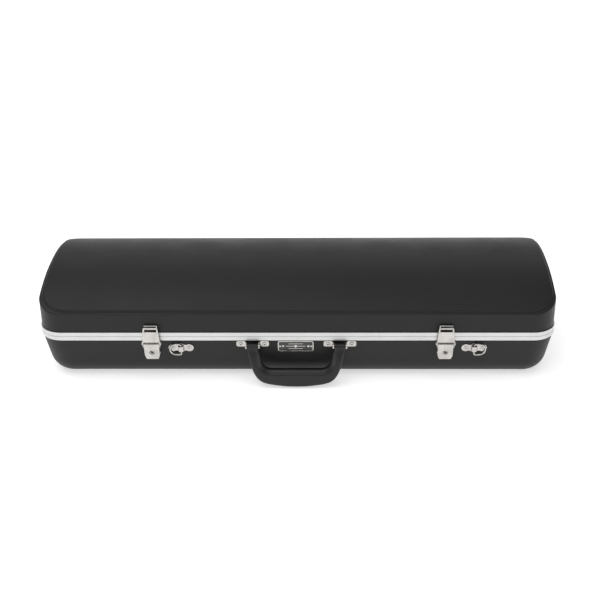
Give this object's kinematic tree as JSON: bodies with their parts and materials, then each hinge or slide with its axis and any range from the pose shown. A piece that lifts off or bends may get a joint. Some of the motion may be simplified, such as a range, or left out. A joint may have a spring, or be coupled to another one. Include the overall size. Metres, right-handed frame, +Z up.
{
  "type": "violin case",
  "caption": "Oblong hard case for a violin: vaulted lid on hinges, latches with locks, folding handle, strap rings, padded inside.",
  "frame": {"origin": "centre of the flat underside that the case rests on", "axes": "+X along the case to the right as seen from the latches, +Y from the latches to the hinges, +Z up"},
  "size_m": [0.7978, 0.3054, 0.148],
  "materials": {
    "abs_shell": "fine leathergrain ABS",
    "aluminium_rail": "satin anodised",
    "plush": "short plush pile",
    "plush_board": "plush over board",
    "webbing": "woven webbing",
    "nickel": "nickel plate",
    "lock_steel": "turned",
    "enamel": "black enamel",
    "handle_plastic": "moulded, satin",
    "steel": "plain steel",
    "rubber_foot": "black rubber",
    "spinner_plastic": "moulded, polished"
  },
  "bodies": {
    "base": {"base_shell": "abs_shell", "base_valance": "aluminium_rail", "base_liner": "plush", "floor_pad": "plush", "lower_bout_bolsters": "plush", "waist_bolsters": "plush", "shoulder_bolsters": "plush", "neck_walls": "plush", "end_wall": "plush", "neck_cradle": "plush", "neck_strap": "webbing", "latch_bases": "nickel", "latch_pivot_pins": "nickel", "latch_rivets": "nickel", "nameplate": "nickel", "nameplate_enamel": "enamel", "nameplate_rivets": "nickel", "d_ring_plates": "nickel", "d_ring_rivets": "nickel", "handle_brackets": "nickel", "handle_pins": "nickel", "handle_rivets": "nickel", "hinge_base_leaves": "nickel", "hinge_pins": "nickel", "hinge_base_rivets": "nickel", "spine_feet_base": "rubber_foot", "foot_screws_base": "steel"},
    "lid": {"lid_shell": "abs_shell", "lid_valance": "aluminium_rail", "lid_liner": "plush", "keepers": "nickel", "keeper_rivets": "nickel", "hinge_lid_leaves": "nickel", "hinge_lid_rivets": "nickel", "spine_feet_lid": "rubber_foot", "foot_screws_lid": "steel", "bow_spinner_posts": "spinner_plastic", "bow_tip_loops": "plush"},
    "latch_lever_left": {"latch_lever_left": "nickel"},
    "latch_hasp_left": {"latch_hasp_left": "nickel", "hasp_pin_left": "nickel"},
    "lock_barrel_left": {"lock_barrel_left": "lock_steel"},
    "d_ring_left": {"d_ring_left": "nickel"},
    "bow_spinner_left": {"bow_spinner_left": "spinner_plastic"},
    "latch_lever_right": {"latch_lever_right": "nickel"},
    "latch_hasp_right": {"latch_hasp_right": "nickel", "hasp_pin_right": "nickel"},
    "lock_barrel_right": {"lock_barrel_right": "lock_steel"},
    "d_ring_right": {"d_ring_right": "nickel"},
    "bow_spinner_right": {"bow_spinner_right": "spinner_plastic"},
    "handle": {"handle_grip": "handle_plastic", "handle_core": "steel"},
    "accessory_lid": {"accessory_lid": "plush_board", "accessory_lid_tab": "webbing"}
  },
  "joints": [
    {"name": "lid_hinge", "type": "hinge", "parent": "base", "child": "lid", "pos_m": [0, 0.1388, 0.0775], "axis": [-1, 0, 0], "range_deg": [0, 105]},
    {"name": "handle_fold", "type": "hinge", "parent": "base", "child": "handle", "pos_m": [0, -0.14216, 0.06388], "axis": [-1, 0, 0], "range_deg": [-8, 150]},
    {"name": "accessory_lid_hinge", "type": "hinge", "parent": "base", "child": "accessory_lid", "pos_m": [0.126, -0.0515, 0.061], "axis": [-1, 0, 0], "range_deg": [0, 90]},
    {"name": "latch_lever_left", "type": "hinge", "parent": "base", "child": "latch_lever_left", "pos_m": [-0.2225, -0.13841, 0.06709], "axis": [-1, 0, 0], "range_deg": [0, 110]},
    {"name": "latch_hasp_left", "type": "hinge", "parent": "latch_lever_left", "child": "latch_hasp_left", "pos_m": [-0.2225, -0.1382, 0.06186], "axis": [-1, 0, 0], "range_deg": [-126, 0]},
    {"name": "lock_turn_left", "type": "hinge", "parent": "latch_lever_left", "child": "lock_barrel_left", "pos_m": [-0.2225, -0.13639, 0.05273], "axis": [0, 0.9882, 0.153], "range_deg": [0, 90]},
    {"name": "d_ring_swing_left", "type": "hinge", "parent": "base", "child": "d_ring_left", "pos_m": [-0.178, -0.1351, 0.05617], "axis": [0, -0.153, 0.9882], "range_deg": [0, 170]},
    {"name": "latch_lever_right", "type": "hinge", "parent": "base", "child": "latch_lever_right", "pos_m": [0.2285, -0.13841, 0.06709], "axis": [-1, 0, 0], "range_deg": [0, 110]},
    {"name": "latch_hasp_right", "type": "hinge", "parent": "latch_lever_right", "child": "latch_hasp_right", "pos_m": [0.2285, -0.1382, 0.06186], "axis": [-1, 0, 0], "range_deg": [-126, 0]},
    {"name": "lock_turn_right", "type": "hinge", "parent": "latch_lever_right", "child": "lock_barrel_right", "pos_m": [0.2285, -0.13639, 0.05273], "axis": [0, 0.9882, 0.153], "range_deg": [0, 90]},
    {"name": "d_ring_swing_right", "type": "hinge", "parent": "base", "child": "d_ring_right", "pos_m": [0.273, -0.1351, 0.05617], "axis": [0, 0.153, -0.9882], "range_deg": [0, 170]},
    {"name": "bow_spinner_turn_left", "type": "hinge", "parent": "lid", "child": "bow_spinner_left", "pos_m": [-0.29, -0.058, 0.1184], "axis": [0, 0, 1], "range_deg": [0, 90]},
    {"name": "bow_spinner_turn_right", "type": "hinge", "parent": "lid", "child": "bow_spinner_right", "pos_m": [0.29, 0.058, 0.1184], "axis": [0, 0, 1], "range_deg": [0, 90]}
  ],
  "couplings": [
    {"joint": "latch_hasp_left", "follows": "latch_lever_left", "ratio": -1.14},
    {"joint": "latch_hasp_right", "follows": "latch_lever_right", "ratio": -1.14}
  ]
}
